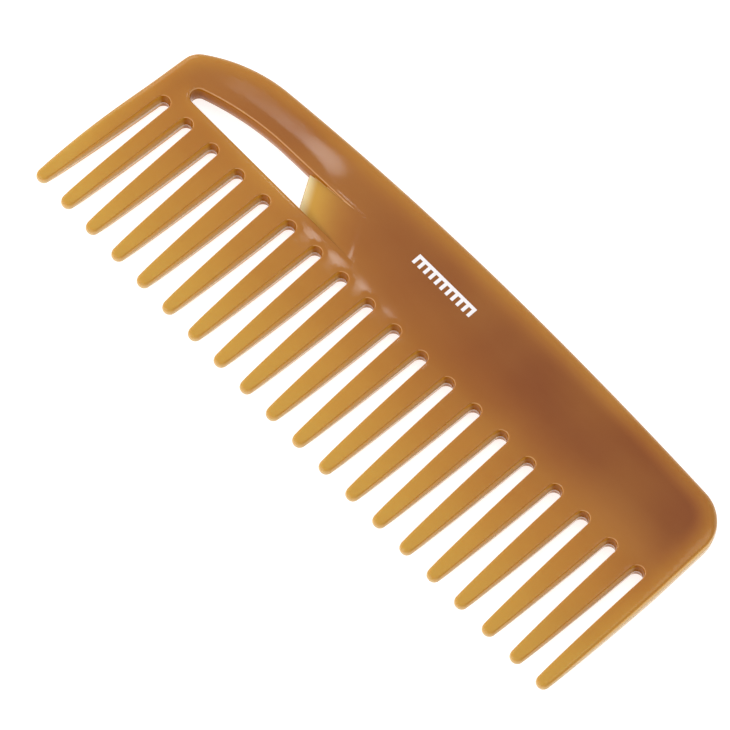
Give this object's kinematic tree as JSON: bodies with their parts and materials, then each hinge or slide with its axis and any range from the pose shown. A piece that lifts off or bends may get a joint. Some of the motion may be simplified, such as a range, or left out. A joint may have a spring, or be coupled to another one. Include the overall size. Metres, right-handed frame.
{
  "type": "wide tooth comb",
  "caption": "Flat one-piece rake comb in amber plastic: round-ended tapered teeth, a curved back, a long handle slot and a thumb ramp. It combs and detangles hair.",
  "frame": {"origin": "under the middle of the comb's length and width, on the surface it lies on", "axes": "+X along the row of teeth away from the handle slot, +Y from the teeth to the back, +Z out of the printed face"},
  "size_m": [0.19, 0.0684, 0.0066],
  "materials": {
    "amber_plastic": "polished injection moulding, slightly translucent amber",
    "white_ink": "opaque pad-printed ink"
  },
  "bodies": {
    "root": {"root_bar": "amber_plastic", "slot_end_post": "amber_plastic", "handle_bow": "amber_plastic", "spine": "amber_plastic", "thumb_ramp": "amber_plastic", "tooth_01": "amber_plastic", "tooth_02": "amber_plastic", "tooth_03": "amber_plastic", "tooth_04": "amber_plastic", "tooth_05": "amber_plastic", "tooth_06": "amber_plastic", "tooth_07": "amber_plastic", "tooth_08": "amber_plastic", "tooth_09": "amber_plastic", "tooth_10": "amber_plastic", "tooth_11": "amber_plastic", "tooth_12": "amber_plastic", "tooth_13": "amber_plastic", "tooth_14": "amber_plastic", "tooth_15": "amber_plastic", "tooth_16": "amber_plastic", "tooth_17": "amber_plastic", "tooth_18": "amber_plastic", "tooth_19": "amber_plastic", "tooth_20": "amber_plastic", "printed_mark": "white_ink"}
  },
  "joints": []
}
